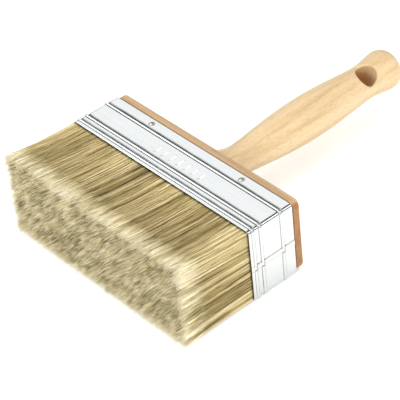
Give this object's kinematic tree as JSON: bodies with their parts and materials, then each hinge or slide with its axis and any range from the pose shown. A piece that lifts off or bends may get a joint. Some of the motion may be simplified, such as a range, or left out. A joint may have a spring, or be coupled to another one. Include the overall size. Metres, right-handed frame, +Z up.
{
  "type": "flat block paint brush",
  "caption": "Wide flat block brush with natural bristles set in a beaded tinplate ferrule, nailed to a beech block with a turned beech handle and a hanging hole.",
  "frame": {"origin": "middle of the underside of the brush's own box as it lies on its broad side: on the surface it rests on, half way along its length and its width", "axes": "+X along the broad head, +Y from the bristle tips to the butt of the handle, +Z up through the head's thickness"},
  "size_m": [0.1553, 0.246, 0.0556],
  "materials": {
    "handle_beech": "turned and sanded, satin wax",
    "block_beech": "planed, steamed beech, satin",
    "zinc_steel": "zinc plated",
    "tinplate": "bright rolled tinplate",
    "nail_steel": "plain bright",
    "epoxy": "cast",
    "spacer_wood": "sawn",
    "hog_bristle": "natural blond hair, cream flagged tips"
  },
  "bodies": {
    "head": {"handle": "handle_beech", "head_block": "block_beech", "handle_screw": "zinc_steel", "ferrule": "tinplate", "ferrule_nails": "nail_steel", "resin_setting": "epoxy", "spacer_strip_lower": "spacer_wood", "spacer_strip_upper": "spacer_wood"},
    "bristles": {"bristle_row_lower": "hog_bristle", "bristle_row_middle": "hog_bristle", "bristle_row_upper": "hog_bristle"}
  },
  "joints": [
    {"name": "bristle_flex", "type": "hinge", "parent": "head", "child": "bristles", "pos_m": [0, -0.06955, 0.0259], "axis": [-1, 0, 0], "range_deg": [-25, 25], "stiffness_Nm_per_rad": 2, "deforming": ["bristle_row_lower", "bristle_row_middle", "bristle_row_upper"]}
  ]
}
